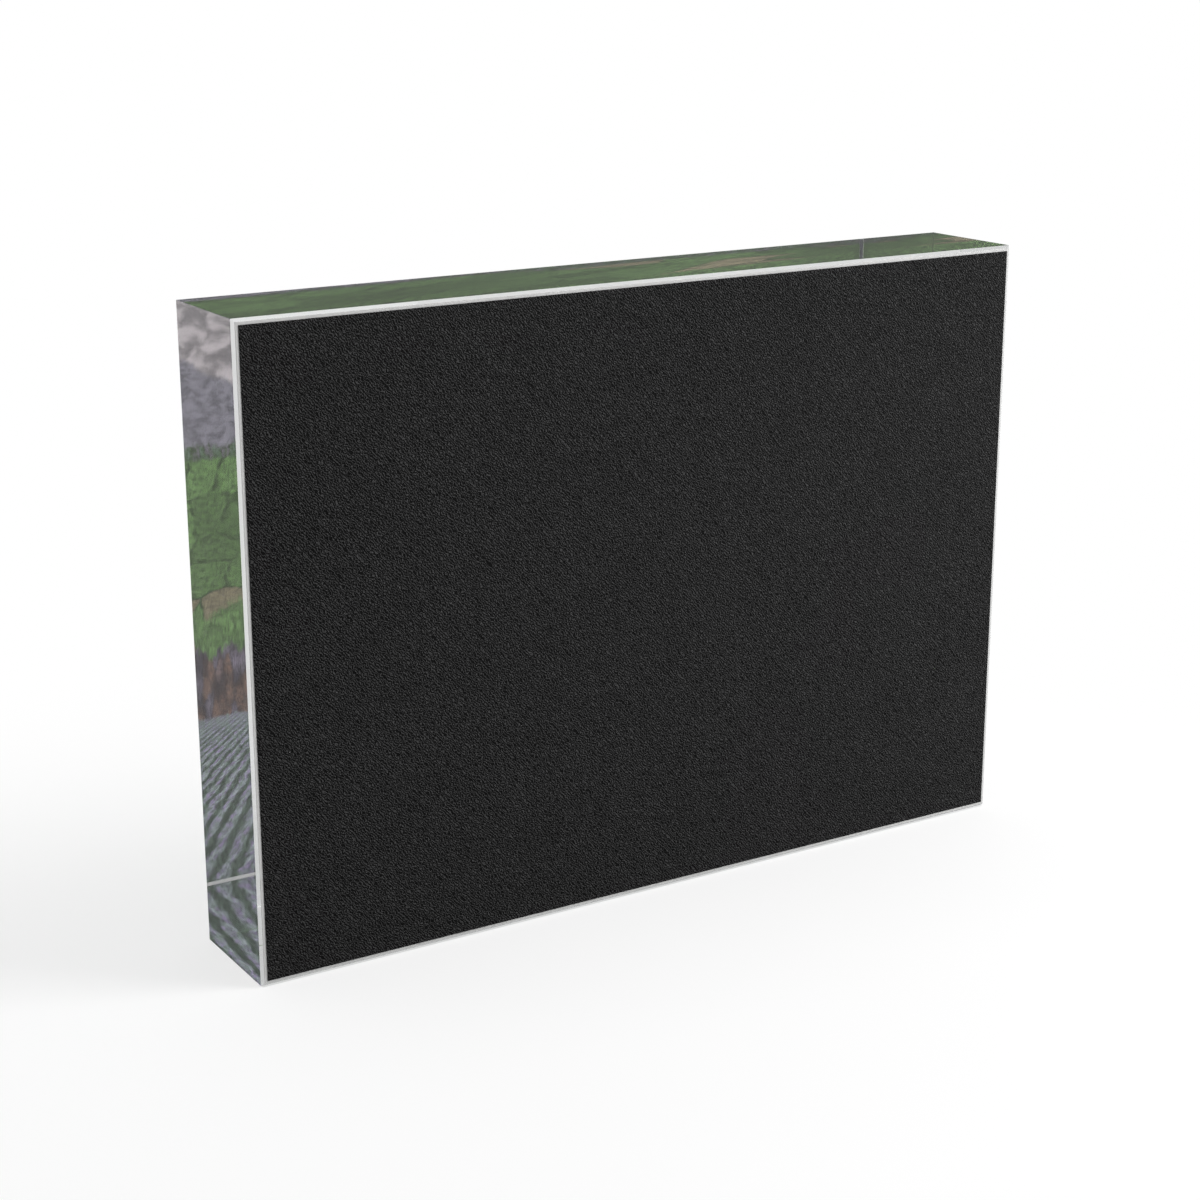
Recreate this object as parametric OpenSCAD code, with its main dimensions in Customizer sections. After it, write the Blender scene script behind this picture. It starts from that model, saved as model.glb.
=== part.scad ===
// Photo block that stands by itself: a thick slab of clear acrylic, its back edges chamfered, with
// a printed photograph bonded to its back, a white backing sheet and a thin black grained pad.
// X runs along the width, Y from the picture side (front) to the pad (back) and Z up.
// The origin is at the middle of the underside. Every layer touches the next one face to face.

/* [Acrylic block] */
// Width of the block, side to side
block_w = 177.8; // [100:0.1:300]
// Height of the block as it stands
block_h = 127; // [70:0.1:250]
// Thickness of the clear acrylic, front to back
acrylic_t = 25.4; // [10:0.1:40]
// Width of the polished chamfer round the acrylic's back face, at 45 degrees
back_chamfer = 0.55; // [0.1:0.05:2]
// Size of the tiny polished break along the acrylic's other outer edges
edge_break = 0.1; // [0.05:0.05:1]

/* [Bonded photograph] */
// Thickness of the clear adhesive film between acrylic and photograph
print_adhesive_t = 0.03; // [0.02:0.01:0.2]
// Thickness of the printed photograph
print_t = 0.1; // [0.05:0.01:0.4]

/* [White backing] */
// Thickness of the adhesive film between photograph and white backing sheet
backing_tape_t = 0.03; // [0.02:0.01:0.3]
// Thickness of the white backing sheet
white_sheet_t = 0.05; // [0.03:0.01:3]

/* [Black back pad] */
// Thickness of the adhesive film under the black pad
pad_adhesive_t = 0.03; // [0.02:0.01:0.2]
// Thickness of the black pad with its grain
pad_t = 0.09; // [0.05:0.01:2]
// Width of the flat white border left showing all round the black pad
white_border = 0.57; // [0.2:0.01:4]

/* [Hidden] */
// The photograph and its backing end where the chamfer begins
print_in = back_chamfer;
pad_in = print_in + white_border;
total_t = acrylic_t + print_adhesive_t + print_t + backing_tape_t + white_sheet_t
    + pad_adhesive_t + pad_t;

// Faces between the layers, from front to back
front_y = -total_t / 2;
acrylic_back_y = front_y + acrylic_t;
print_front_y = acrylic_back_y + print_adhesive_t;
print_back_y = print_front_y + print_t;
tape_back_y = print_back_y + backing_tape_t;
sheet_back_y = tape_back_y + white_sheet_t;
pad_front_y = sheet_back_y + pad_adhesive_t;
back_y = pad_front_y + pad_t;

// How far the slab's shaping profiles run past it
overrun = acrylic_t;

// Outline of the slab seen from the front, with its four corners broken
module slab_front() {
    half_w = block_w / 2;
    translate([0, acrylic_back_y, 0])
        rotate([90, 0, 0])
            linear_extrude(height = acrylic_t)
                polygon([
                    [-half_w + edge_break, 0],
                    [half_w - edge_break, 0],
                    [half_w, edge_break],
                    [half_w, block_h - edge_break],
                    [half_w - edge_break, block_h],
                    [-half_w + edge_break, block_h],
                    [-half_w, block_h - edge_break],
                    [-half_w, edge_break]
                ]);
}

// Slab between two sides, low and high: its edges are broken at the front and chamfered at the back
module slab_section(low, high, length) {
    linear_extrude(height = length)
        polygon([
            [low + edge_break, front_y],
            [high - edge_break, front_y],
            [high, front_y + edge_break],
            [high, acrylic_back_y - back_chamfer],
            [high - back_chamfer, acrylic_back_y],
            [low + back_chamfer, acrylic_back_y],
            [low, acrylic_back_y - back_chamfer],
            [low, front_y + edge_break]
        ]);
}

// Clear slab, polished on all its faces
module acrylic_block() {
    color([0.92, 0.97, 0.96, 0.35])
        intersection() {
            slab_front();
            translate([0, 0, -overrun])
                slab_section(-block_w / 2, block_w / 2, block_h + 2 * overrun);
            translate([block_w / 2 + overrun, 0, 0])
                rotate([0, -90, 0])
                    slab_section(0, block_h, block_w + 2 * overrun);
        }
}

// One thin square-edged layer from y0 to y1, set in from the block's sides by the same amount
module layer(y0, y1, inset) {
    translate([-block_w / 2 + inset, y0, inset])
        cube([block_w - 2 * inset, y1 - y0, block_h - 2 * inset]);
}

// Clear film that bonds the photograph to the acrylic without air between them
module print_adhesive() {
    color([0.90, 0.93, 0.92, 0.35])
        layer(acrylic_back_y, print_front_y, print_in);
}

// Printed photograph, its picture facing the front through the acrylic
module photo_print() {
    color([0.42, 0.50, 0.40])
        layer(print_front_y, print_back_y, print_in);
}

// Adhesive film behind the photograph
module backing_tape() {
    color([0.88, 0.88, 0.86])
        layer(print_back_y, tape_back_y, print_in);
}

// White sheet, seen as the flat border round the pad
module white_backing_sheet() {
    color([0.93, 0.93, 0.92])
        layer(tape_back_y, sheet_back_y, print_in);
}

// Adhesive film of the black pad
module pad_adhesive() {
    color([0.25, 0.25, 0.25])
        layer(sheet_back_y, pad_front_y, pad_in);
}

// Thin black pad that covers the back
module black_back_pad() {
    color([0.05, 0.05, 0.055])
        layer(pad_front_y, back_y, pad_in);
}

acrylic_block();
print_adhesive();
photo_print();
backing_tape();
white_backing_sheet();
pad_adhesive();
black_back_pad();
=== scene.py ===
import math

import bmesh
import bpy
from bpy.props import (
    FloatProperty, FloatVectorProperty, IntProperty, PointerProperty,
)
from mathutils import Matrix, Vector, noise


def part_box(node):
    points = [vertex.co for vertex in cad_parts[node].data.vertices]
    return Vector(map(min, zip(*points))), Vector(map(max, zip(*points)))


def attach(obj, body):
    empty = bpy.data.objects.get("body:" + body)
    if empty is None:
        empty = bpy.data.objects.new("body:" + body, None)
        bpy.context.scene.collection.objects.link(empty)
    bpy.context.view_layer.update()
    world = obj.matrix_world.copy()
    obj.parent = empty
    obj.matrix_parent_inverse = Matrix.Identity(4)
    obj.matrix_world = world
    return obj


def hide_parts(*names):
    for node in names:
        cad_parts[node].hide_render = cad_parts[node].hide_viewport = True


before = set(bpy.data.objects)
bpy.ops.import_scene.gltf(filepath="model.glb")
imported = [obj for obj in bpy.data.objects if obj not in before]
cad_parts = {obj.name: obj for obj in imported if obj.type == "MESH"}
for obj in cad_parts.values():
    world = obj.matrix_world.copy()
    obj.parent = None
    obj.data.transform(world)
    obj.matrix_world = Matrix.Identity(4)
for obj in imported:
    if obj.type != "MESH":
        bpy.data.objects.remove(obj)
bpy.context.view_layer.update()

bl_info = {
    "name": "Photo block",
    "version": (1, 0, 0),
    "blender": (4, 5, 0),
    "location": "3D View > Sidebar > Photo Block",
    "description": "Clear acrylic block with a photograph bonded behind it and a black back pad",
    "category": "Object",
}

MM = 0.001

# How far two places may differ and still count as the same, in metres
SLACK = 1e-7

# How nearly a face's normal points along an axis, from 0 to 1: roughly, and squarely
FACING = 0.9
FACING_SQUARELY = 0.999

# The CAD boxes that the new pieces are made from
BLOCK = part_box("acrylic_block")
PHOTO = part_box("photo_print")
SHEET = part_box("white_backing_sheet")
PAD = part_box("black_back_pad")
CHAMFER = BLOCK[1].x - PHOTO[1].x


# Sizes and colours that a user may change

class AcrylicSettings(bpy.types.PropertyGroup):
    back_chamfer: FloatProperty(
        name="Back chamfer", description="Width of the polished chamfer round the back face",
        default=CHAMFER, min=0.0001, max=0.003, precision=5, unit="LENGTH")
    edge_round: FloatProperty(
        name="Edge rounding", description="Polished rounding of the other outer edges",
        default=0.08 * MM, min=0.00002, max=0.0005, precision=5, unit="LENGTH")
    refraction: FloatProperty(
        name="Refraction", description="Index of refraction of cast acrylic", default=1.491,
        min=1.3, max=1.7)


class PhotographSettings(bpy.types.PropertyGroup):
    contact: FloatProperty(
        name="Contact depth", description="How deep the print reaches into the acrylic's back "
        "face, which joins them without air", default=0.03 * MM, min=0.0, max=0.0002, precision=5,
        unit="LENGTH")
    side_gap: FloatProperty(
        name="Side gap", description="How far the print stays inside the start of the chamfer",
        default=0.01 * MM, min=0.0, max=0.0002, precision=5, unit="LENGTH")
    sky: FloatVectorProperty(
        name="Sky", description="Light parts of the cloudy sky", subtype="COLOR", size=4,
        default=(0.90, 0.82, 0.86, 1), min=0, max=1)
    cloud: FloatVectorProperty(
        name="Clouds", description="Shaded parts of the cloudy sky", subtype="COLOR", size=4,
        default=(0.36, 0.33, 0.35, 1), min=0, max=1)
    ridge: FloatVectorProperty(
        name="Far ridge", description="Hazy hills at the skyline", subtype="COLOR", size=4,
        default=(0.44, 0.42, 0.50, 1), min=0, max=1)
    straw: FloatVectorProperty(
        name="Ripe field", description="Straw-coloured fields among the green ones",
        subtype="COLOR", size=4, default=(0.50, 0.44, 0.28, 1), min=0, max=1)
    meadow: FloatVectorProperty(
        name="Meadow", description="Green of the fields", subtype="COLOR", size=4,
        default=(0.21, 0.37, 0.13, 1), min=0, max=1)
    autumn: FloatVectorProperty(
        name="Autumn trees", description="Rust brown crowns of some trees", subtype="COLOR",
        size=4, default=(0.50, 0.31, 0.24, 1), min=0, max=1)
    crown: FloatVectorProperty(
        name="Mauve trees", description="Greyish mauve crowns of the other trees",
        subtype="COLOR", size=4, default=(0.50, 0.43, 0.56, 1), min=0, max=1)
    lavender: FloatVectorProperty(
        name="Lavender", description="Violet bushes of the planted rows", subtype="COLOR", size=4,
        default=(0.74, 0.60, 1.0, 1), min=0, max=1)
    bloom: FloatVectorProperty(
        name="Pale lavender", description="Pale blue bushes of the planted rows",
        subtype="COLOR", size=4, default=(0.82, 0.92, 1.0, 1), min=0, max=1)
    leaves: FloatVectorProperty(
        name="Leaves", description="Low green between the rows", subtype="COLOR", size=4,
        default=(0.40, 0.54, 0.44, 1), min=0, max=1)


class BackingSettings(bpy.types.PropertyGroup):
    white: FloatVectorProperty(
        name="White sheet", description="Colour of the white backing sheet", subtype="COLOR",
        size=4, default=(0.51, 0.51, 0.505, 1), min=0, max=1)
    edge_round: FloatProperty(
        name="Edge rounding", description="Rounding of the cut edges of the thin sheets",
        default=0.015 * MM, min=0.0, max=0.00004, precision=6, unit="LENGTH")


class PadSettings(bpy.types.PropertyGroup):
    colour: FloatVectorProperty(
        name="Pad", description="Colour of the black pad", subtype="COLOR", size=4,
        default=(0.049, 0.049, 0.0495, 1), min=0, max=1)
    grain_pitch: FloatProperty(
        name="Grain pitch", description="Distance between neighbouring ridges of the fine grain",
        default=0.475 * MM, min=0.0002, max=0.003, precision=5, unit="LENGTH")
    grain_depth: FloatProperty(
        name="Grain depth", description="Depth of the fine grain", default=0.22 * MM, min=0.0,
        max=0.0005, precision=5, unit="LENGTH")
    edge_round: FloatProperty(
        name="Edge rounding", description="Rounding of the pad's cut edges",
        default=0.03 * MM, min=0.00001, max=0.00008, precision=6, unit="LENGTH")
    relief_step: FloatProperty(
        name="Relief step", description="Distance between the mesh points that carry the relief",
        default=0.62 * MM, min=0.0004, max=0.01, precision=5, unit="LENGTH")
    relief_depth: FloatProperty(
        name="Relief depth", description="Depth of the slow unevenness of the pad's surface",
        default=0.008 * MM, min=0.0, max=0.00005, precision=6, unit="LENGTH")


class StageSettings(bpy.types.PropertyGroup):
    key_power: FloatProperty(
        name="Key light", description="Power of the soft light behind the block, high on the left "
        "as seen from the front", default=10.0, min=0, max=50, unit="POWER")
    top_power: FloatProperty(
        name="Top light", description="Power of the wide soft light overhead", default=3.0, min=0,
        max=100, unit="POWER")
    strip_power: FloatProperty(
        name="Strip light", description="Power of the low upright strip beside the block",
        default=0.25, min=0, max=20, unit="POWER")
    floor_lift: FloatProperty(
        name="Floor lift", description="How far the floor near the block is lifted towards white "
        "for the camera and through the acrylic", default=0.65, min=0, max=1)
    mirrored_tone: FloatProperty(
        name="Mirrored tone", description="Share of the floor's brightness that gloss mirrors",
        default=0.45, min=0, max=1)
    glass_tone: FloatProperty(
        name="Tone through glass", description="Share of the floor's brightness seen through the "
        "acrylic", default=0.78, min=0, max=1)
    floor_tone: FloatProperty(
        name="Floor tone", description="How much light the white floor returns", default=0.90,
        min=0, max=1)
    air_gap: FloatProperty(
        name="Air gap", description="Gap between the floor and the block's underside",
        default=0.2 * MM, min=0.0, max=0.001, precision=5, unit="LENGTH")
    floor_reach: IntProperty(
        name="Floor reach", description="Half the floor's side, in metres", default=8, min=2,
        max=50)


class PhotoBlockSettings(bpy.types.PropertyGroup):
    acrylic: PointerProperty(type=AcrylicSettings)
    photograph: PointerProperty(type=PhotographSettings)
    backing: PointerProperty(type=BackingSettings)
    pad: PointerProperty(type=PadSettings)
    stage: PointerProperty(type=StageSettings)


# Mesh helpers

def new_object(name, shell):
    """Turn a finished bmesh into an object at the origin."""
    mesh = bpy.data.meshes.new(name)
    shell.to_mesh(mesh)
    shell.free()
    piece = bpy.data.objects.new(name, mesh)
    bpy.context.scene.collection.objects.link(piece)
    return piece


def solid_box(low, high):
    """A closed box between two corners."""
    shell = bmesh.new()
    bmesh.ops.create_cube(shell, size=1)
    bmesh.ops.scale(shell, vec=high - low, verts=shell.verts)
    bmesh.ops.translate(shell, vec=(low + high) / 2, verts=shell.verts)
    return shell


def soften(shell, edges, width, segments):
    """Bevel some edges evenly."""
    bmesh.ops.bevel(
        shell, geom=edges, offset=width, offset_type="OFFSET", affect="EDGES",
        segments=segments, profile=0.5, material=-1)


def on_plane(edge, axis, level):
    """Whether an edge lies in the plane at that level along an axis."""
    return all(abs(vert.co[axis] - level) < SLACK for vert in edge.verts)


def declare(piece, slot, *nodes):
    """Hang the piece on the root body and hide the CAD solids it stands for; the slot for its
    finish is not used.
    """
    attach(piece, "root")
    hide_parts(*nodes)


# Node helpers

def place(tree, kind, feeds=None, **settings):
    """Add a node, set it up and feed its inputs with values or with other nodes' outputs."""
    made = tree.nodes.new(kind)
    for name, value in settings.items():
        setattr(made, name, value)
    for socket, value in (feeds or {}).items():
        if isinstance(value, bpy.types.NodeSocket):
            tree.links.new(value, made.inputs[socket])
        else:
            made.inputs[socket].default_value = value
    return made


def math_node(tree, operation, *values, clamp=False):
    """Result of a Math node."""
    return place(tree, "ShaderNodeMath", dict(enumerate(values)), operation=operation,
                 use_clamp=clamp).outputs[0]


def mix_colour(tree, factor, first, second, mode="MIX"):
    """Result of a colour Mix node: the first colour at factor 0, the second at factor 1."""
    return place(tree, "ShaderNodeMix", {0: factor, 6: first, 7: second}, data_type="RGBA",
                 blend_type=mode).outputs[2]


def map_range(tree, value, low, high, to_low=0.0, to_high=1.0, smooth=True):
    """Result of a clamped Map Range node."""
    return place(
        tree, "ShaderNodeMapRange",
        {"Value": value, "From Min": low, "From Max": high, "To Min": to_low, "To Max": to_high},
        interpolation_type="SMOOTHSTEP" if smooth else "LINEAR").outputs[0]


def noise_value(tree, vector, scale, detail=3.0, rough=0.5, twist=0.0, dims="2D", w=0.0):
    """Value of a Noise texture, from about 0.25 to 0.75."""
    feeds = {"Scale": scale, "Detail": detail, "Roughness": rough, "Distortion": twist}
    if dims != "1D":
        feeds["Vector"] = vector
    else:
        feeds["W"] = w
    return place(tree, "ShaderNodeTexNoise", feeds, noise_dimensions=dims).outputs[0]


def new_group(name, inputs, outputs):
    """Start a shader node group with named sockets, or give back the one that is there."""
    known = bpy.data.node_groups.get(name)
    if known:
        return known, None, None
    group = bpy.data.node_groups.new(name, "ShaderNodeTree")
    for socket, kind, value in inputs:
        made = group.interface.new_socket(socket, in_out="INPUT", socket_type=kind)
        if value is not None:
            made.default_value = value
    for socket, kind in outputs:
        group.interface.new_socket(socket, in_out="OUTPUT", socket_type=kind)
    given = group.nodes.new("NodeGroupInput").outputs
    return group, given, group.nodes.new("NodeGroupOutput").inputs


def use_group(tree, group, **values):
    """Place a node group in a tree, its inputs named with _ for a space."""
    feeds = {name.replace("_", " "): value for name, value in values.items()}
    return place(tree, "ShaderNodeGroup", feeds, node_tree=group).outputs


def shaded(tree, colour, share):
    """The same colour at a share of its brightness, inside a node tree."""
    return place(tree, "ShaderNodeVectorMath", {0: colour, "Scale": share},
                 operation="SCALE").outputs[0]


def dimmer(colour, share):
    """The same plain colour at a share of its brightness."""
    return (colour[0] * share, colour[1] * share, colour[2] * share, 1)


def on_sheet(tree, where, unit=1.0):
    """Place across and up on a sheet that stands along the block, in that unit."""
    split = place(tree, "ShaderNodeSeparateXYZ", {0: where}).outputs
    return place(tree, "ShaderNodeCombineXYZ", {
        0: math_node(tree, "DIVIDE", split[0], unit),
        1: math_node(tree, "DIVIDE", split[2], unit)}).outputs[0]


FLOAT, COLOUR, VECTOR = "NodeSocketFloat", "NodeSocketColor", "NodeSocketVector"


def fine_mottle():
    """Slight unevenness in a sheet's or film's colour."""
    tree, given, out = new_group(
        "fine mottle",
        [("Position", VECTOR, None), ("Size", FLOAT, 0.002), ("Contrast", FLOAT, 0.1),
         ("Colour", COLOUR, (0.8, 0.8, 0.8, 1))],
        [("Colour", COLOUR)])
    if given:
        scale = math_node(tree, "DIVIDE", 1.0, given["Size"])
        coarse = noise_value(tree, given["Position"], scale, 2, 0.6)
        mask = map_range(tree, coarse, 0.3, 0.7)
        shade = math_node(tree, "SUBTRACT", 1.0,
                          math_node(tree, "MULTIPLY", mask, given["Contrast"]))
        tree.links.new(shaded(tree, given["Colour"], shade), out["Colour"])
    return tree


def handling_marks():
    """Faint smudges and rubbed spots, which make a gloss a little duller."""
    tree, given, out = new_group(
        "handling marks",
        [("Position", VECTOR, None), ("Spread", FLOAT, 0.02), ("Clean roughness", FLOAT, 0.0),
         ("Marked roughness", FLOAT, 0.1)],
        [("Roughness", FLOAT)])
    if given:
        scale = math_node(tree, "DIVIDE", 1.0, given["Spread"])
        smudge = noise_value(tree, given["Position"], scale, 1, 0.5, 0.6)
        fibre = noise_value(tree, given["Position"], math_node(tree, "MULTIPLY", scale, 24.0), 1)
        mask = math_node(tree, "MULTIPLY", map_range(tree, smudge, 0.52, 0.72),
                         map_range(tree, fibre, 0.35, 0.65))
        rough = map_range(tree, mask, 0.0, 1.0, given["Clean roughness"],
                          given["Marked roughness"], smooth=False)
        tree.links.new(rough, out["Roughness"])
    return tree


# How the grain's ridges lean, and what the Wave texture's scale is for one ridge in each pitch
RIDGE_LEAN = math.radians(42)
WAVE_SCALE = 0.314


def pebble_grain():
    """Embossed grain of short curved ridges, most of them leaning one way, with pits between."""
    tree, given, out = new_group(
        "pebble grain",
        [("Position", VECTOR, None), ("Pitch", FLOAT, 0.0006)],
        [("Height", FLOAT), ("Pits", FLOAT), ("Patches", FLOAT)])
    if given:
        scale = math_node(tree, "DIVIDE", 1.0, given["Pitch"])
        turned = place(tree, "ShaderNodeVectorRotate", {
            "Vector": given["Position"], "Angle": RIDGE_LEAN},
            rotation_type="Z_AXIS").outputs[0]
        ridges = place(tree, "ShaderNodeTexWave", {
            "Vector": turned, "Scale": math_node(tree, "MULTIPLY", scale, WAVE_SCALE),
            "Distortion": 8.5, "Detail": 1.0, "Detail Scale": 1.8,
            "Detail Roughness": 0.6}).outputs["Fac"]
        breaks = map_range(tree, noise_value(
            tree, given["Position"], math_node(tree, "MULTIPLY", scale, 1.7), 1, 0.5),
            0.34, 0.60, 0.4, 1.0)
        height = math_node(tree, "MULTIPLY", ridges, breaks)
        tree.links.new(height, out["Height"])
        tree.links.new(map_range(tree, height, 0.80, 0.15), out["Pits"])
        patches = noise_value(tree, given["Position"], math_node(tree, "MULTIPLY", scale, 0.12),
                              1, 0.6)
        tree.links.new(map_range(tree, patches, 0.3, 0.7), out["Patches"])
    return tree


def hill_line():
    """Mask of the ground below a rolling line across the picture, in millimetres."""
    tree, given, out = new_group(
        "hill line",
        [("Point", VECTOR, None), ("Level", FLOAT, 50.0), ("Slope", FLOAT, 0.0),
         ("Swell", FLOAT, 4.0), ("Length", FLOAT, 60.0), ("Ragged", FLOAT, 1.0),
         ("Softness", FLOAT, 0.5), ("Turn", FLOAT, 0.0)],
        [("Mask", FLOAT)])
    if given:
        split = place(tree, "ShaderNodeSeparateXYZ", {0: given["Point"]}).outputs
        along = math_node(tree, "ADD", math_node(tree, "DIVIDE", split[0], given["Length"]),
                          given["Turn"])
        roll = noise_value(tree, None, 1.0, 1, 0.5, dims="1D", w=along)
        swell = math_node(tree, "MULTIPLY", math_node(tree, "SUBTRACT", roll, 0.5),
                          math_node(tree, "MULTIPLY", given["Swell"], 4.0))
        tufts = noise_value(tree, given["Point"], 0.55, 3, 0.65)
        rag = math_node(tree, "MULTIPLY", math_node(tree, "SUBTRACT", tufts, 0.5),
                        math_node(tree, "MULTIPLY", given["Ragged"], 4.0))
        line = math_node(tree, "ADD", math_node(tree, "ADD", given["Level"], swell),
                         math_node(tree, "ADD", rag,
                                   math_node(tree, "MULTIPLY", split[0], given["Slope"])))
        depth = math_node(tree, "DIVIDE", math_node(tree, "SUBTRACT", line, split[1]),
                          given["Softness"])
        tree.links.new(map_range(tree, depth, -1.0, 1.0), out["Mask"])
    return tree


def patchy_tone():
    """Two colours laid in patches, longer across than up where the stretch is above 1."""
    tree, given, out = new_group(
        "patchy tone",
        [("Point", VECTOR, None), ("Light", COLOUR, (0.8, 0.8, 0.8, 1)),
         ("Dark", COLOUR, (0.2, 0.2, 0.2, 1)), ("Size", FLOAT, 2.0), ("Stretch", FLOAT, 1.0),
         ("Low", FLOAT, 0.35), ("High", FLOAT, 0.65)],
        [("Colour", COLOUR), ("Mask", FLOAT)])
    if given:
        split = place(tree, "ShaderNodeSeparateXYZ", {0: given["Point"]}).outputs
        wide = math_node(tree, "MULTIPLY", given["Size"], given["Stretch"])
        cell = place(tree, "ShaderNodeCombineXYZ", {
            0: math_node(tree, "DIVIDE", split[0], wide),
            1: math_node(tree, "DIVIDE", split[1], given["Size"])}).outputs[0]
        patches = noise_value(tree, cell, 1.0, 3, 0.6, 0.3)
        mask = map_range(tree, patches, given["Low"], given["High"])
        tree.links.new(mix_colour(tree, mask, given["Dark"], given["Light"]), out["Colour"])
        tree.links.new(mask, out["Mask"])
    return tree


def scaled(tree, point, across, up, lean=0.0):
    """Place on the picture in units that differ across and up, leaning sideways with height."""
    split = place(tree, "ShaderNodeSeparateXYZ", {0: point}).outputs
    leant = math_node(tree, "MULTIPLY_ADD", split[1], lean, split[0])
    return place(tree, "ShaderNodeCombineXYZ", {
        0: math_node(tree, "DIVIDE", leant, across),
        1: math_node(tree, "DIVIDE", split[1], up)}).outputs[0]


def bent_cells(tree, point, across, up, lean, bend):
    """Voronoi cells with wavering sides: their colour, distance and distance to the edge."""
    cell = scaled(tree, point, across, up, lean)
    sway = place(tree, "ShaderNodeTexNoise", {"Vector": cell, "Scale": 1.7, "Detail": 2.0},
                 noise_dimensions="2D").outputs["Color"]
    bent = place(tree, "ShaderNodeVectorMath", {0: cell, 1: shaded(tree, sway, bend)},
                 operation="ADD").outputs[0]
    near, edge = (place(tree, "ShaderNodeTexVoronoi", {"Vector": bent, "Scale": 1.0},
                        voronoi_dimensions="2D", feature=feature).outputs
                  for feature in ("F1", "DISTANCE_TO_EDGE"))
    return near["Color"], near["Distance"], edge["Distance"]


def field_patchwork():
    """Far fields, each of its own tone, some of them ripe, with dark hedges between."""
    tree, given, out = new_group(
        "field patchwork",
        [("Point", VECTOR, None), ("Size", FLOAT, 6.0), ("Light", COLOUR, (0.6, 0.5, 0.3, 1)),
         ("Dark", COLOUR, (0.2, 0.3, 0.1, 1))],
        [("Colour", COLOUR)])
    if given:
        size = given["Size"]
        own, _, edge = bent_cells(tree, given["Point"], math_node(tree, "MULTIPLY", size, 3.6),
                                  size, 1.2, 0.30)
        own = place(tree, "ShaderNodeSeparateColor", {0: own}).outputs
        tone = mix_colour(tree, map_range(tree, own[0], 0.70, 0.74), given["Dark"],
                          given["Light"])
        level, upright = (
            noise_value(tree, scaled(tree, given["Point"], across, up, lean), 1.0, 3, 0.7)
            for across, up, lean in ((4.0, 0.9, 0.0), (0.9, 2.2, 0.6)))
        tufts = math_node(tree, "MULTIPLY", math_node(tree, "ADD", level, upright), 0.5)
        shade = math_node(tree, "MULTIPLY", map_range(tree, own[1], 0.0, 1.0, 0.75, 1.15),
                          map_range(tree, tufts, 0.38, 0.62, 0.55, 1.30))
        toned = shaded(tree, tone, shade)
        rough = math_node(tree, "MULTIPLY_ADD", tufts, -0.12, edge)
        gaps = noise_value(tree, scaled(tree, given["Point"], 7.0, 3.0), 1.0, 2, 0.5)
        hedges = math_node(tree, "MULTIPLY", map_range(tree, rough, 0.015, -0.055),
                           map_range(tree, gaps, 0.40, 0.54, 0.15, 1.0))
        hedge = shaded(tree, given["Dark"], 0.34)
        tree.links.new(mix_colour(tree, hedges, toned, hedge), out["Colour"])
    return tree


def tree_crowns():
    """Leafy crowns of two kinds side by side, lighter in their middles, dark between."""
    tree, given, out = new_group(
        "tree crowns",
        [("Point", VECTOR, None), ("Size", FLOAT, 6.0), ("Light", COLOUR, (0.5, 0.3, 0.2, 1)),
         ("Other", COLOUR, (0.5, 0.4, 0.5, 1)), ("Dark", COLOUR, (0.05, 0.05, 0.05, 1))],
        [("Colour", COLOUR)])
    if given:
        size = given["Size"]
        own, middle, _ = bent_cells(tree, given["Point"], size, size, 0.0, 0.45)
        own = place(tree, "ShaderNodeSeparateColor", {0: own}).outputs
        kind = mix_colour(tree, map_range(tree, own[0], 0.45, 0.50), given["Light"],
                          given["Other"])
        leaves = map_range(tree, noise_value(tree, given["Point"], 1.3, 3, 0.72), 0.36, 0.64)
        body = map_range(tree, middle, 0.72, 0.12, 0.22, 1.0)
        light = math_node(tree, "MULTIPLY", body, math_node(
            tree, "MULTIPLY_ADD", leaves, 0.75, math_node(tree, "MULTIPLY", own[1], 0.3)),
            clamp=True)
        tree.links.new(mix_colour(tree, light, given["Dark"], kind), out["Colour"])
    return tree


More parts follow.
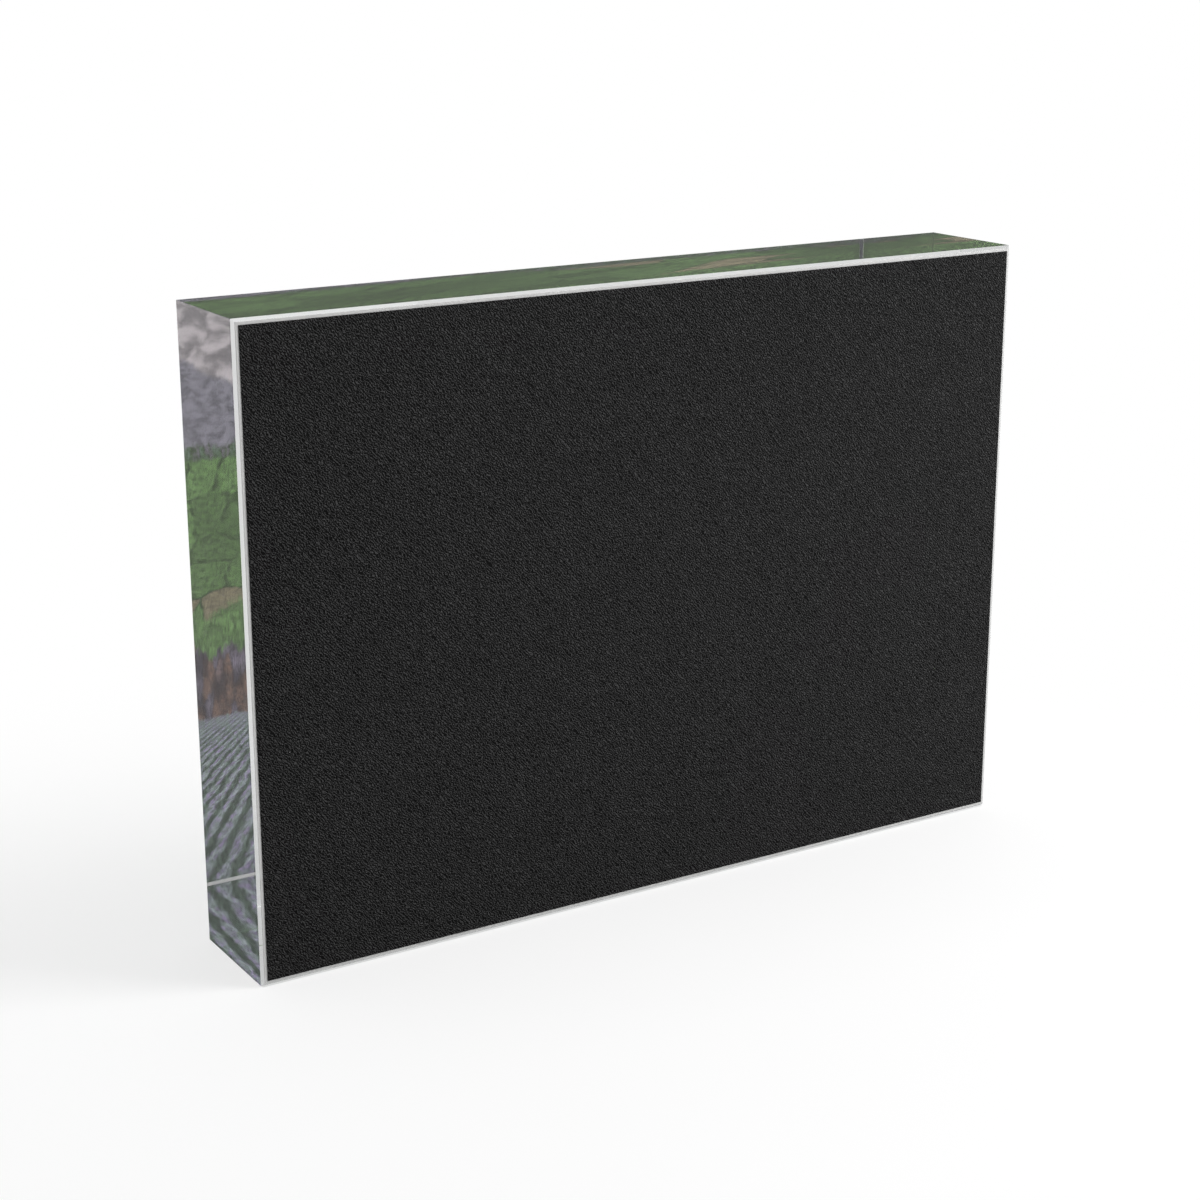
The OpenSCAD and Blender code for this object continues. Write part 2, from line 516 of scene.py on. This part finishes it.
def planted_rows():
    """Rows of low bushes that run away to one point on the skyline."""
    tree, given, out = new_group(
        "planted rows",
        [("Point", VECTOR, None), ("Skyline", FLOAT, 50.0), ("Middle", FLOAT, 0.0),
         ("Pitch", FLOAT, 0.3), ("Light", COLOUR, (0.6, 0.5, 1.0, 1)),
         ("Other", COLOUR, (0.7, 0.8, 1.0, 1)), ("Dark", COLOUR, (0.1, 0.2, 0.1, 1))],
        [("Colour", COLOUR)])
    if given:
        split = place(tree, "ShaderNodeSeparateXYZ", {0: given["Point"]}).outputs
        below = math_node(tree, "MAXIMUM", 1.0, math_node(
            tree, "SUBTRACT", given["Skyline"], split[1]))
        aside = math_node(tree, "DIVIDE", math_node(
            tree, "SUBTRACT", split[0], given["Middle"]), below)
        row = math_node(tree, "DIVIDE", aside, given["Pitch"])
        nearer = math_node(tree, "MULTIPLY", math_node(tree, "LOGARITHM", below, math.e), 8.0)
        spot = place(tree, "ShaderNodeCombineXYZ", {0: row, 1: nearer}).outputs[0]
        sway = math_node(tree, "MULTIPLY", noise_value(tree, spot, 1.3, 3, 0.65), 0.9)
        wave = math_node(tree, "SINE", math_node(tree, "MULTIPLY", math_node(
            tree, "ADD", row, sway), 2 * math.pi))
        rows = map_range(tree, wave, -0.8, 0.5)
        tufts = map_range(tree, noise_value(tree, spot, 4.2, 3, 0.75), 0.36, 0.56, 0.25, 1.0)
        bushes = map_range(tree, noise_value(tree, spot, 1.9, 2, 0.6), 0.34, 0.48, 0.55, 1.0)
        light = math_node(tree, "MULTIPLY", rows, math_node(tree, "MULTIPLY", tufts, bushes))
        # Far off, the rows melt into one tone
        clear = map_range(tree, below, 6.0, 18.0)
        light = mix_colour(tree, clear, (0.50, 0.50, 0.50, 1), light)
        tint = map_range(tree, noise_value(tree, spot, 2.6, 2, 0.6), 0.42, 0.56)
        bloom = mix_colour(tree, tint, given["Light"], given["Other"])
        tree.links.new(mix_colour(tree, light, given["Dark"], bloom), out["Colour"])
    return tree


def grass_blades():
    """Strokes of grass that lean and cross, light over dark."""
    tree, given, out = new_group(
        "grass blades",
        [("Point", VECTOR, None), ("Size", FLOAT, 1.0), ("Light", COLOUR, (0.8, 0.8, 0.8, 1)),
         ("Dark", COLOUR, (0.1, 0.1, 0.1, 1))],
        [("Colour", COLOUR)])
    if given:
        size = given["Size"]
        long = math_node(tree, "MULTIPLY", size, 3.2)
        first = noise_value(tree, scaled(tree, given["Point"], size, long, 0.5), 1.0, 2, 0.65)
        other = noise_value(tree, scaled(tree, given["Point"], size, long, -0.35), 1.3, 2, 0.65)
        strokes = math_node(tree, "MAXIMUM", map_range(tree, first, 0.44, 0.66), math_node(
            tree, "MULTIPLY", map_range(tree, other, 0.46, 0.66), 0.8))
        wide = math_node(tree, "MULTIPLY", size, 9.0)
        clumps = map_range(tree, noise_value(
            tree, scaled(tree, given["Point"], wide, size), 1.0, 2, 0.5), 0.3, 0.7, 0.45, 1.0)
        mask = math_node(tree, "MULTIPLY", strokes, clumps)
        tree.links.new(mix_colour(tree, mask, given["Dark"], given["Light"]), out["Colour"])
    return tree


def new_material(name, **shader):
    """A material whose Principled BSDF has these plain values, and its Object coordinates."""
    material = bpy.data.materials.new(name)
    material.use_nodes = True
    tree = material.node_tree
    principled = tree.nodes["Principled BSDF"]
    for socket, value in shader.items():
        principled.inputs[socket.replace("_", " ")].default_value = value
    where = place(tree, "ShaderNodeTexCoord").outputs["Object"]
    return material, tree, principled.inputs, where


def mottled_film(name, colour, size, contrast, roughness):
    """Material of a plain film or sheet with a slight mottle."""
    material, tree, shader, where = new_material(name, Roughness=roughness)
    where = on_sheet(tree, where)
    tone = use_group(tree, fine_mottle(), Position=where, Size=size, Contrast=contrast,
                     Colour=colour)
    tree.links.new(tone["Colour"], shader["Base Color"])
    marks = use_group(tree, handling_marks(), Position=where, Spread=size * 6,
                      Clean_roughness=roughness, Marked_roughness=min(1.0, roughness + 0.15))
    tree.links.new(marks["Roughness"], shader["Roughness"])
    return material


# Materials

def acrylic_material(settings):
    """Clear polished cast acrylic, with hardly visible handling marks."""
    material, tree, shader, where = new_material(
        "clear polished acrylic", Base_Color=(0.985, 0.995, 0.992, 1), Transmission_Weight=1.0,
        IOR=settings.refraction, Roughness=0.0)
    # Turned, so that the marks differ from face to face
    askew = place(tree, "ShaderNodeMapping", {"Vector": where, "Rotation": (0.6, 0.8, 0.4)})
    marks = use_group(tree, handling_marks(), Position=askew.outputs[0], Spread=0.03,
                      Clean_roughness=0.0, Marked_roughness=0.006)
    tree.links.new(marks["Roughness"], shader["Roughness"])
    output = tree.nodes["Material Output"]
    principled = tree.nodes["Principled BSDF"]
    path = place(tree, "ShaderNodeLightPath").outputs
    clear = place(tree, "ShaderNodeBsdfTransparent").outputs[0]
    mixed = place(tree, "ShaderNodeMixShader",
                  {0: path["Is Shadow Ray"], 1: principled.outputs[0], 2: clear}).outputs[0]
    tree.links.new(mixed, output.inputs["Surface"])
    return material


# The line that each part of the printed view lies below, from far to near: its height and its
# rise per millimetre, the height and length of its swells, all in millimetres, its raggedness, the
# softness of its edge and the place along the noise that it starts from
VIEW_LINES = {
    "hazy ridge": (103, 0.11, 4.0, 40, 0.5, 0.8, 3.1),
    "wooded ridge": (97, -0.07, 4.0, 55, 0.8, 0.5, 7.7),
    "fields": (88, 0.06, 3.0, 60, 0.3, 0.5, 1.3),
    "meadow": (62, -0.09, 2.0, 70, 1.2, 1.0, 4.4),
    "belt of trees": (51, 0.0, 2.0, 14, 1.2, 0.6, 9.4),
    "planted rows": (36, 0.02, 1.0, 60, 0.5, 0.4, 2.6),
}

# The point that the planted rows run away to, and how far apart they are seen from it
ROWS_SKYLINE = 48.0
ROWS_MIDDLE = -34.0
ROWS_PITCH = 0.34


def picture_material(colours):
    """A quiet farmland view: cloudy sky, hazy ridges, hedged fields, trees and lavender rows."""
    material, tree, shader, where = new_material(
        "printed landscape", Roughness=0.45, Specular_IOR_Level=0.0)
    point = on_sheet(tree, where, MM)

    def tone(light, dark, size, stretch, low=0.35, high=0.65):
        return use_group(tree, patchy_tone(), Point=point, Light=light, Dark=dark, Size=size,
                         Stretch=stretch, Low=low, High=high)

    def cover(group, light, dark, size, **more):
        return use_group(tree, group, Point=point, Light=light, Dark=dark, Size=size, **more)

    def with_part(picture, part, colour):
        level, slope, swell, length, ragged, softness, turn = VIEW_LINES[part]
        mask = use_group(tree, hill_line(), Point=point, Level=level, Slope=slope, Swell=swell,
                         Length=length, Ragged=ragged, Softness=softness, Turn=turn)["Mask"]
        return mix_colour(tree, mask, picture, colour)

    # Broken clouds, with a hazy and a wooded ridge in front of them
    picture = tone(colours.sky, colours.cloud, 4.5, 3.4, 0.34, 0.64)["Colour"]
    hazy = tone(colours.ridge, dimmer(colours.ridge, 0.55), 1.6, 4.0)["Colour"]
    picture = with_part(picture, "hazy ridge", hazy)
    wooded = cover(tree_crowns(), dimmer(colours.crown, 0.8), dimmer(colours.meadow, 0.35), 2.6,
                   Other=dimmer(colours.leaves, 0.75))["Colour"]
    picture = with_part(picture, "wooded ridge", wooded)

    # Rolling fields with hedges between them, then a meadow of taller grass
    fields = cover(field_patchwork(), colours.straw, colours.meadow, 6.5)["Colour"]
    picture = with_part(picture, "fields", fields)
    blades = cover(grass_blades(), dimmer(colours.meadow, 1.7), dimmer(colours.meadow, 0.6),
                   1.4)["Colour"]
    picture = with_part(picture, "meadow", blades)

    # A belt of trees behind the planted rows
    belt = cover(tree_crowns(), colours.autumn, (0.06, 0.05, 0.06, 1), 5.5,
                 Other=colours.crown)["Colour"]
    picture = with_part(picture, "belt of trees", belt)
    rows = use_group(tree, planted_rows(), Point=point, Skyline=ROWS_SKYLINE, Middle=ROWS_MIDDLE,
                     Pitch=ROWS_PITCH, Light=colours.lavender, Other=colours.bloom,
                     Dark=dimmer(colours.leaves, 0.34))["Colour"]
    patches = tone(colours.leaves, colours.leaves, 1.8, 1.2, 0.50, 0.60)["Mask"]
    rows = mix_colour(tree, math_node(tree, "MULTIPLY", patches, 0.45), rows, colours.leaves)
    picture = with_part(picture, "planted rows", rows)

    tree.links.new(picture, shader["Base Color"])
    return material


def pad_material(settings):
    """Black pad embossed with a fine grain: satin ridges, and rougher pits with painted shade in
    them.
    """
    material, tree, shader, where = new_material(
        "black grained pad", Roughness=0.55, Specular_IOR_Level=0.08)
    where = on_sheet(tree, where)
    grain = use_group(tree, pebble_grain(), Position=where, Pitch=settings.grain_pitch)
    worn = use_group(tree, fine_mottle(), Position=where, Size=0.012, Contrast=0.06,
                     Colour=settings.colour)["Colour"]
    # Painted shade: the colour darkens to a twentieth of the pad's in the grain's pits
    toned = mix_colour(tree, grain["Pits"], worn, dimmer(settings.colour, 0.05))
    tree.links.new(toned, shader["Base Color"])
    marks = use_group(tree, handling_marks(), Position=where, Spread=0.05, Clean_roughness=0.50,
                      Marked_roughness=0.62)["Roughness"]
    rough = math_node(tree, "ADD", marks, math_node(tree, "MULTIPLY", grain["Pits"], 0.25),
                      clamp=True)
    tree.links.new(rough, shader["Roughness"])
    strength = map_range(tree, grain["Patches"], 0.0, 1.0, 0.88, 1.0)
    height = math_node(tree, "MULTIPLY", grain["Height"], strength)
    bump = place(tree, "ShaderNodeBump",
                 {"Height": height, "Strength": 1.0, "Distance": settings.grain_depth})
    tree.links.new(bump.outputs[0], shader["Normal"])
    return material


# Pieces, one operator for each

class PHOTOBLOCK_OT_acrylic_block(bpy.types.Operator):
    """Make the clear acrylic block with its back chamfer"""
    bl_idname = "photoblock.acrylic_block"
    bl_label = "Acrylic block"

    def execute(self, context):
        settings = context.scene.photo_block.acrylic
        low, high = BLOCK
        shell = solid_box(low, high)
        soften(shell, [e for e in shell.edges if on_plane(e, 1, high.y)],
               settings.back_chamfer, 1)
        front = [e for e in shell.edges if on_plane(e, 1, low.y)]
        corners = [e for e in shell.edges
                   if abs(e.verts[0].co.y - e.verts[1].co.y) > (high.y - low.y) / 2]
        soften(shell, front + corners, settings.edge_round, 2)
        bmesh.ops.recalc_face_normals(shell, faces=shell.faces)
        piece = new_object("acrylic_slab", shell)
        piece.data.materials.append(acrylic_material(settings))
        declare(piece, "clear_acrylic", "acrylic_block")
        return {"FINISHED"}


class PHOTOBLOCK_OT_photograph(bpy.types.Operator):
    """Make the printed photograph, joined to the acrylic without air"""
    bl_idname = "photoblock.photograph"
    bl_label = "Photograph"

    def execute(self, context):
        settings = context.scene.photo_block.photograph
        low, high = (corner.copy() for corner in PHOTO)
        inset = Vector((settings.side_gap, 0, settings.side_gap))
        low += inset
        high -= inset
        low.y = BLOCK[1].y - settings.contact
        shell = solid_box(low, high)
        soften(shell, [e for e in shell.edges if on_plane(e, 1, high.y)],
               context.scene.photo_block.backing.edge_round, 2)
        bmesh.ops.recalc_face_normals(shell, faces=shell.faces)
        for face in shell.faces:
            face.material_index = 0 if face.normal.y < -FACING else 1
        piece = new_object("photograph", shell)
        piece.data.materials.append(picture_material(settings))
        piece.data.materials.append(
            mottled_film("photo paper", (0.78, 0.78, 0.77, 1), 0.0015, 0.08, 0.6))
        declare(piece, "printed_photo", "photo_print")
        return {"FINISHED"}


class PHOTOBLOCK_OT_backing_sheet(bpy.types.Operator):
    """Make the white backing sheet that shows as a border round the pad"""
    bl_idname = "photoblock.backing_sheet"
    bl_label = "White backing sheet"

    def execute(self, context):
        settings = context.scene.photo_block.backing
        shell = solid_box(*SHEET)
        soften(shell, [e for e in shell.edges if on_plane(e, 1, SHEET[1].y)],
               settings.edge_round, 2)
        bmesh.ops.recalc_face_normals(shell, faces=shell.faces)
        piece = new_object("white_backing", shell)
        material, tree, shader, where = new_material(
            "satin white sheet", Roughness=0.5, Specular_IOR_Level=0.35)
        where = on_sheet(tree, where)
        tone = use_group(tree, fine_mottle(), Position=where, Size=0.003, Contrast=0.05,
                         Colour=settings.white)
        tree.links.new(tone["Colour"], shader["Base Color"])
        grain = use_group(tree, pebble_grain(), Position=where, Pitch=0.25 * MM)
        bump = place(tree, "ShaderNodeBump", {"Height": grain["Height"], "Strength": 0.4,
                                              "Distance": 0.01 * MM})
        tree.links.new(bump.outputs[0], shader["Normal"])
        piece.data.materials.append(material)
        declare(piece, "white_sheet", "white_backing_sheet")
        return {"FINISHED"}


# The pad's slow unevenness: the size and share of each of its waves, and how far from the cut
# edges it reaches its full depth
RELIEF_WAVES = ((1.9 * MM, 0.6), (4.3 * MM, 0.4))
RELIEF_FADE = 2 * MM

# The unevenness starts just past the rounding of the cut edges, at this many times its width
RELIEF_START = 1.01


class PHOTOBLOCK_OT_back_pad(bpy.types.Operator):
    """Make the thin black pad with its grained surface"""
    bl_idname = "photoblock.back_pad"
    bl_label = "Black back pad"

    def execute(self, context):
        settings = context.scene.photo_block.pad
        low, high = PAD
        shell = solid_box(low, high)
        soften(shell, [e for e in shell.edges if on_plane(e, 1, high.y)], settings.edge_round, 2)
        bmesh.ops.recalc_face_normals(shell, faces=shell.faces)
        back = max(shell.faces, key=lambda face: face.normal.y * face.calc_area())
        cuts = int((high.x - low.x) / settings.relief_step)
        bmesh.ops.subdivide_edges(shell, edges=list(back.edges), cuts=cuts, use_grid_fill=True)
        for face in shell.faces:
            face.smooth = face.normal.y > FACING_SQUARELY
        # Slow unevenness of the embossed sheet, which fades out towards its cut edges
        for vert in shell.verts:
            if vert.co.y < high.y - SLACK:
                continue
            rim = min(vert.co.x - low.x, high.x - vert.co.x, vert.co.z - low.z, high.z - vert.co.z)
            inside = rim - settings.edge_round * RELIEF_START
            hold = min(1.0, max(0.0, inside / RELIEF_FADE))
            spot = Vector((vert.co.x, 0.0, vert.co.z))
            wave = sum(noise.noise(spot / size) * share for size, share in RELIEF_WAVES)
            vert.co.y -= settings.relief_depth * hold * (0.5 + 0.5 * wave)
        piece = new_object("black_pad", shell)
        piece.data.materials.append(pad_material(settings))
        declare(piece, "black_pad", "black_back_pad")
        return {"FINISHED"}


# Each bonding film's solid, the name and colour of its finish, the size of its mottle in metres,
# the mottle's contrast and the finish's roughness
FILMS = (
    ("print_adhesive", "clear adhesive film", (0.80, 0.83, 0.82, 1), 0.002, 0.06, 0.25),
    ("backing_tape", "double-sided film", (0.74, 0.74, 0.71, 1), 0.0015, 0.10, 0.5),
    ("pad_adhesive", "grey tacky film", (0.055, 0.055, 0.055, 1), 0.001, 0.20, 0.6),
)


class PHOTOBLOCK_OT_bonding_films(bpy.types.Operator):
    """Give the three adhesive films between the layers their finish"""
    bl_idname = "photoblock.bonding_films"
    bl_label = "Bonding films"

    def execute(self, context):
        for node, name, colour, size, contrast, roughness in FILMS:
            film = mottled_film(name, colour, size, contrast, roughness)
            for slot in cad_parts[node].material_slots:
                slot.material = film
        return {"FINISHED"}


# Where the photograph was taken from, found from the block's edges in it
CAMERA_AT = Vector((0.2459, 0.3872, 0.1936))
CAMERA_AZIMUTH = math.radians(31.79)
CAMERA_HEIGHT_ANGLE = math.radians(16.32)
CAMERA_ROLL = math.radians(-0.08)
FOCAL_PIXELS = 2326.5
PHOTO_PIXELS = 1200
SENSOR = 36.0


# Place on the floor round which it keeps its shade, and the distances from there between which
# it turns white for the camera, and for gloss and glass
FLOOR_MIDDLE = (0.08, 0.10, 0.0)
WHITE_FOR_CAMERA = (0.13, 0.29)
WHITE_FOR_GLOSS = (0.6, 1.4)

# Painted shade under the block: the share of the floor's colour that is left there, and how soon
# it drops to that
UNDER_PAINTED_SHADE = 0.05
UNDER_FADE = 0.5 * MM


def studio_floor(settings):
    """Endless white floor that keeps the block's soft shadow."""
    shell = bmesh.new()
    bmesh.ops.create_grid(shell, x_segments=4, y_segments=4, size=settings.floor_reach)
    bmesh.ops.translate(shell, vec=(0, 0, BLOCK[0].z - settings.air_gap), verts=shell.verts)
    floor = new_object("studio_floor", shell)
    material, tree, shader, where = new_material(
        "white studio floor", Roughness=0.9, Specular_IOR_Level=0.0)
    tone = settings.floor_tone
    paper = use_group(tree, fine_mottle(), Position=where, Size=0.05, Contrast=0.006,
                      Colour=(tone, tone, tone, 1))
    # Painted shade: under the block the floor's colour drops to a small share of itself, as little
    # light gets there
    split = place(tree, "ShaderNodeSeparateXYZ", {0: where}).outputs
    under = math_node(tree, "MULTIPLY", *(
        map_range(tree, math_node(tree, "ABSOLUTE", split[axis]), BLOCK[1][axis],
                  BLOCK[1][axis] - UNDER_FADE) for axis in (0, 1)))
    shade = mix_colour(tree, under, paper["Colour"], dimmer((tone, tone, tone), UNDER_PAINTED_SHADE))
    # The camera sees the floor whitened, as the photograph was, but gloss mirrors its own grey and
    # glass shows it between the two, both with the same painted shade under the block
    path = place(tree, "ShaderNodeLightPath").outputs
    for ray, share in (("Is Glossy Ray", settings.mirrored_tone),
                       ("Is Transmission Ray", settings.glass_tone)):
        dim = dimmer((tone, tone, tone), share)
        shade = mix_colour(tree, path[ray], shade, mix_colour(
            tree, under, dim, dimmer(dim, UNDER_PAINTED_SHADE)))
    tree.links.new(shade, shader["Base Color"])
    # The floor fades to plain white away from the block, for the camera, gloss and glass alike
    away = place(tree, "ShaderNodeVectorMath", {0: where, 1: FLOOR_MIDDLE},
                 operation="DISTANCE").outputs["Value"]
    seen = math_node(tree, "MULTIPLY", path["Is Camera Ray"],
                     map_range(tree, away, *WHITE_FOR_CAMERA, settings.floor_lift, 1.0))
    mirrored = math_node(tree, "MULTIPLY", map_range(tree, away, *WHITE_FOR_GLOSS), math_node(
        tree, "MAXIMUM", path["Is Glossy Ray"], path["Is Transmission Ray"]))
    # Seen through the acrylic the floor is lifted towards white, but not where the shade under the
    # block is painted
    through = math_node(tree, "MULTIPLY", path["Is Transmission Ray"], math_node(
        tree, "MULTIPLY_ADD", under, -settings.floor_lift, settings.floor_lift))
    share = math_node(tree, "MAXIMUM", seen, math_node(tree, "MAXIMUM", mirrored, through))
    glow = mix_colour(tree, math_node(tree, "MULTIPLY", path["Is Transmission Ray"], math_node(
        tree, "SUBTRACT", 1.0, mirrored)), (1, 1, 1, 1), dimmer((1, 1, 1), settings.glass_tone))
    white = place(tree, "ShaderNodeEmission", {"Color": glow, "Strength": 1.0}).outputs[0]
    mixed = place(tree, "ShaderNodeMixShader", {
        0: share, 1: tree.nodes["Principled BSDF"].outputs[0], 2: white}).outputs[0]
    tree.links.new(mixed, tree.nodes["Material Output"].inputs["Surface"])
    floor.data.materials.append(material)


# Brightness of the studio at heights from the horizon, 0, to overhead, 1
STUDIO_STOPS = ((0.0, 0.12), (0.30, 0.19), (0.86, 0.44), (1.0, 1.0))

# The far wall on the picture side: its brightness, and between which places its foot, its top
# and its sides fade in
WALL_TONE = 0.62
WALL_FOOT = (0.160, 0.178)
WALL_TOP = (0.65, 0.40)
WALL_SIDES = (-0.1, -0.5)

# Between these heights the white along the floor's far edge ends
EDGE_WHITE = (0.02, 0.08)


def studio_world():
    """Dim near the horizon and bright overhead, as under a soft ceiling light."""
    world = bpy.data.worlds.new("studio")
    bpy.context.scene.world = world
    world.use_nodes = True
    tree = world.node_tree
    direction = place(tree, "ShaderNodeTexCoord").outputs["Generated"]
    _, ahead, height = place(tree, "ShaderNodeSeparateXYZ", {0: direction}).outputs
    ramp = place(tree, "ShaderNodeValToRGB", {0: height})
    while len(ramp.color_ramp.elements) < len(STUDIO_STOPS):
        ramp.color_ramp.elements.new(0.5)
    for element, (at, value) in zip(ramp.color_ramp.elements, STUDIO_STOPS):
        element.position = at
        element.color = (value, value, value, 1)
    # A pale wall stands far off on the picture side, its foot above the table
    wall = math_node(tree, "MULTIPLY", map_range(tree, ahead, *WALL_SIDES), math_node(
        tree, "MULTIPLY", map_range(tree, height, *WALL_FOOT),
        map_range(tree, height, *WALL_TOP)))
    lit = mix_colour(tree, wall, ramp.outputs[0], (WALL_TONE, WALL_TONE, WALL_TONE, 1))
    # The camera sees white above the floor's far edge, gloss and glass see it along that edge
    path = place(tree, "ShaderNodeLightPath").outputs
    edge = map_range(tree, height, *EDGE_WHITE, 1.0, 0.0)
    mirrored = math_node(tree, "MULTIPLY", edge, math_node(
        tree, "MAXIMUM", path["Is Glossy Ray"], path["Is Transmission Ray"]))
    seen = math_node(tree, "MAXIMUM", path["Is Camera Ray"], mirrored)
    colour = mix_colour(tree, seen, lit, (1, 1, 1, 1))
    tree.links.new(colour, tree.nodes["Background"].inputs["Color"])


# Each soft light's place and sides in metres, and the setting that holds its power
LIGHTS = (
    ("key_light", (-0.78, 0.54, 0.62), (0.48, 0.48), "key_power"),
    ("top_light", (0.0, 0.0, 1.1), (0.9, 0.9), "top_power"),
    ("strip_light", (-0.29, 0.19, 0.06), (0.05, 0.10), "strip_power"),
)


def soft_light(name, at, aim, size, power):
    """A soft rectangular light that points at a place and isn't seen itself."""
    data = bpy.data.lights.new(name, "AREA")
    data.shape = "RECTANGLE"
    data.size, data.size_y = size
    data.energy = power
    lamp = bpy.data.objects.new(name, data)
    lamp.location = at
    lamp.rotation_euler = (Vector(aim) - Vector(at)).to_track_quat("-Z", "Y").to_euler()
    lamp.visible_camera = False
    bpy.context.scene.collection.objects.link(lamp)


def photo_camera():
    """Camera at the photograph's place, angle and framing."""
    data = bpy.data.cameras.new("photo_camera")
    camera = bpy.data.objects.new("photo_camera", data)
    bpy.context.scene.collection.objects.link(camera)
    data.sensor_width = SENSOR
    data.lens = FOCAL_PIXELS / PHOTO_PIXELS * SENSOR
    data.clip_start = 0.01
    data.clip_end = 50.0
    flat = math.cos(CAMERA_HEIGHT_ANGLE)
    away = Vector((math.sin(CAMERA_AZIMUTH) * flat, math.cos(CAMERA_AZIMUTH) * flat,
                   math.sin(CAMERA_HEIGHT_ANGLE)))
    right = (-away).cross(Vector((0, 0, 1))).normalized()
    upward = right.cross(-away)
    turned = right * math.cos(CAMERA_ROLL) + upward * math.sin(CAMERA_ROLL)
    raised = upward * math.cos(CAMERA_ROLL) - right * math.sin(CAMERA_ROLL)
    camera.matrix_world = Matrix((
        (turned.x, raised.x, away.x, CAMERA_AT.x),
        (turned.y, raised.y, away.y, CAMERA_AT.y),
        (turned.z, raised.z, away.z, CAMERA_AT.z),
        (0, 0, 0, 1)))
    bpy.context.scene.camera = camera


class PHOTOBLOCK_OT_stage(bpy.types.Operator):
    """Set up the white floor, the soft lights and the camera"""
    bl_idname = "photoblock.stage"
    bl_label = "Stage, lights and camera"

    def execute(self, context):
        settings = context.scene.photo_block.stage
        context.scene.view_settings.view_transform = "Standard"
        studio_floor(settings)
        studio_world()
        middle = (BLOCK[0] + BLOCK[1]) / 2
        for name, at, size, power in LIGHTS:
            soft_light(name, at, middle, size, getattr(settings, power))
        photo_camera()
        return {"FINISHED"}


class PHOTOBLOCK_PT_panel(bpy.types.Panel):
    """Lists the pieces of the photo block and their settings"""
    bl_idname = "PHOTOBLOCK_PT_panel"
    bl_label = "Photo block"
    bl_space_type = "VIEW_3D"
    bl_region_type = "UI"
    bl_category = "Photo Block"

    def draw(self, context):
        settings = context.scene.photo_block
        for operator, group in STEPS:
            box = self.layout.box()
            box.operator(operator.bl_idname)
            if group:
                values = getattr(settings, group)
                for name in values.bl_rna.properties.keys():
                    if name not in {"rna_type", "name"}:
                        box.prop(values, name)


# Each operator with the settings it reads, in the order in which they run
STEPS = (
    (PHOTOBLOCK_OT_acrylic_block, "acrylic"),
    (PHOTOBLOCK_OT_photograph, "photograph"),
    (PHOTOBLOCK_OT_backing_sheet, "backing"),
    (PHOTOBLOCK_OT_back_pad, "pad"),
    (PHOTOBLOCK_OT_bonding_films, None),
    (PHOTOBLOCK_OT_stage, "stage"),
)

CLASSES = (
    AcrylicSettings,
    PhotographSettings,
    BackingSettings,
    PadSettings,
    StageSettings,
    PhotoBlockSettings,
    *(operator for operator, _ in STEPS),
    PHOTOBLOCK_PT_panel,
)


def register():
    for cls in CLASSES:
        bpy.utils.register_class(cls)
    bpy.types.Scene.photo_block = PointerProperty(type=PhotoBlockSettings)


def unregister():
    del bpy.types.Scene.photo_block
    for cls in reversed(CLASSES):
        bpy.utils.unregister_class(cls)


def main():
    register()
    bpy.ops.photoblock.acrylic_block()
    bpy.ops.photoblock.photograph()
    bpy.ops.photoblock.backing_sheet()
    bpy.ops.photoblock.back_pad()
    bpy.ops.photoblock.bonding_films()
    bpy.ops.photoblock.stage()


if __name__ == "__main__":
    main()
